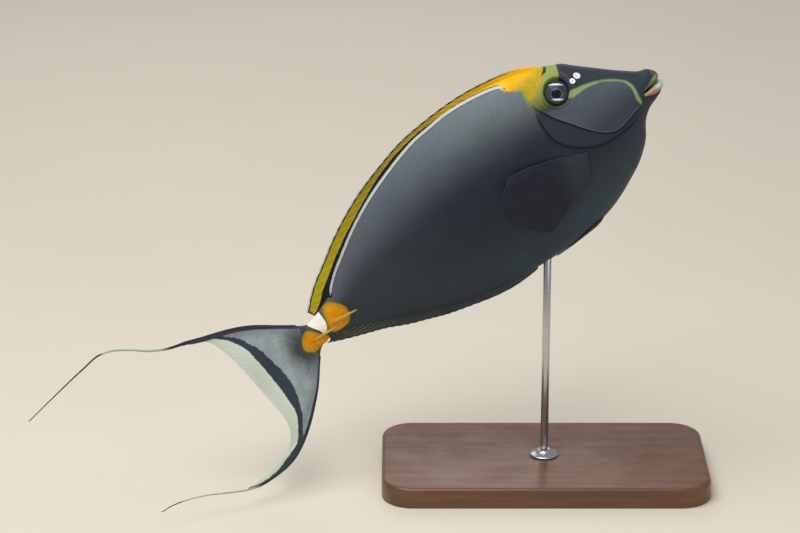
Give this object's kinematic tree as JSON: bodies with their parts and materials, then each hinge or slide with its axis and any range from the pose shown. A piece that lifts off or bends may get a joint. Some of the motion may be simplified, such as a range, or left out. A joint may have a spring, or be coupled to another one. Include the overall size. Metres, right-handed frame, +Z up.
{
  "type": "elegant unicornfish display model",
  "caption": "Life-size model of a deep-bodied reef fish with long tail streamers, nose up with its tail bent, held on a rod over a flat wooden base.",
  "frame": {"origin": "centre of the base's underside, straight under the rod", "axes": "+Z up, +X the way the fish heads, +Y to its left"},
  "size_m": [0.5058, 0.179, 0.3285],
  "materials": {
    "skin_slate": "satin skin, slate grey, paler along the back",
    "skin_head": "satin skin, black mask, grey cheek with a yellow line",
    "skin_stalk": "satin skin, whitish saddle and orange patches",
    "eye": "glossy black with a thin pale ring",
    "lips": "satin orange",
    "fin_orange": "orange membrane with a black line and a pale edge",
    "fin_dark": "dark membrane with rays",
    "fin_tail": "grey membrane, black band, pale hind edge",
    "keels": "smooth orange",
    "stand_wood": "dark oiled wood",
    "stand_steel": "brushed"
  },
  "bodies": {
    "root": {"torso": "skin_slate", "head": "skin_head", "tail_stalk": "skin_stalk", "eye_right": "eye", "eye_left": "eye", "upper_lip": "lips", "lower_lip": "lips", "dorsal_fin": "fin_orange", "anal_fin": "fin_dark", "caudal_fin_upper": "fin_tail", "caudal_fin_lower": "fin_tail", "streamer_upper_root": "fin_tail", "streamer_upper_tip": "fin_tail", "streamer_lower_root": "fin_tail", "streamer_lower_tip": "fin_tail", "pectoral_fin_right": "fin_dark", "pectoral_fin_left": "fin_dark", "pelvic_fin_right": "fin_dark", "pelvic_fin_left": "fin_dark", "keel_front_right": "keels", "keel_front_left": "keels", "keel_rear_right": "keels", "keel_rear_left": "keels", "stand_base": "stand_wood", "stand_rod": "stand_steel", "stand_collar": "stand_steel"}
  },
  "joints": []
}
